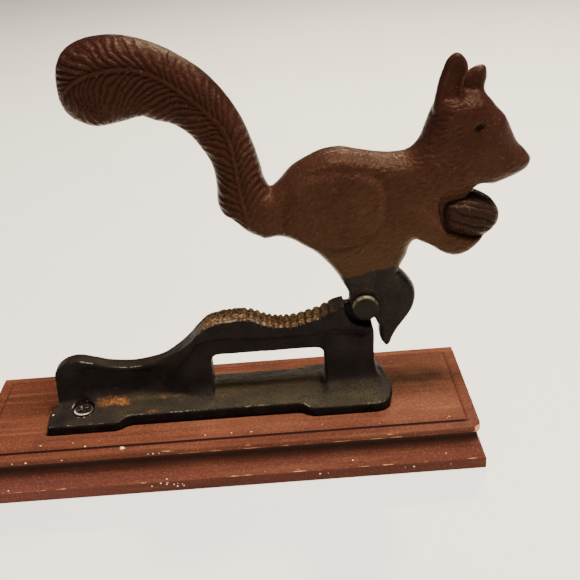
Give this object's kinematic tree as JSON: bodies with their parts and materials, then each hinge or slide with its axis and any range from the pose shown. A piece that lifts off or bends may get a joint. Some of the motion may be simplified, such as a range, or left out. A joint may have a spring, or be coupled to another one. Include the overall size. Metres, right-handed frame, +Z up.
{
  "type": "lever nutcracker",
  "caption": "Cast-iron squirrel lever nutcracker on a moulded wooden plinth; the tail pushes down to crush a nut on a ribbed anvil.",
  "frame": {"origin": "centre of the plinth's underside", "axes": "+X along the plinth towards the squirrel's nose, +Y across it to the far side, +Z up"},
  "size_m": [0.2224, 0.066, 0.171],
  "materials": {
    "stained_wood": "worn satin mahogany stain",
    "black_paint": "worn black paint with rust and dust",
    "brown_paint": "glossy dark brown enamel over cast fur texture, black on the foot",
    "worn_steel": "black paint rubbed to steel on the rivet head",
    "screw_steel": "tarnished steel"
  },
  "bodies": {
    "base": {"plinth": "stained_wood", "stand": "black_paint", "pivot_rivet": "worn_steel", "screw_front_left": "screw_steel", "screw_back_right": "screw_steel"},
    "lever": {"squirrel": "brown_paint"}
  },
  "joints": [
    {"name": "lever_pivot", "type": "hinge", "parent": "base", "child": "lever", "pos_m": [0.059, 0, 0.0608], "axis": [0, -1, 0], "range_deg": [-8, 36]}
  ]
}
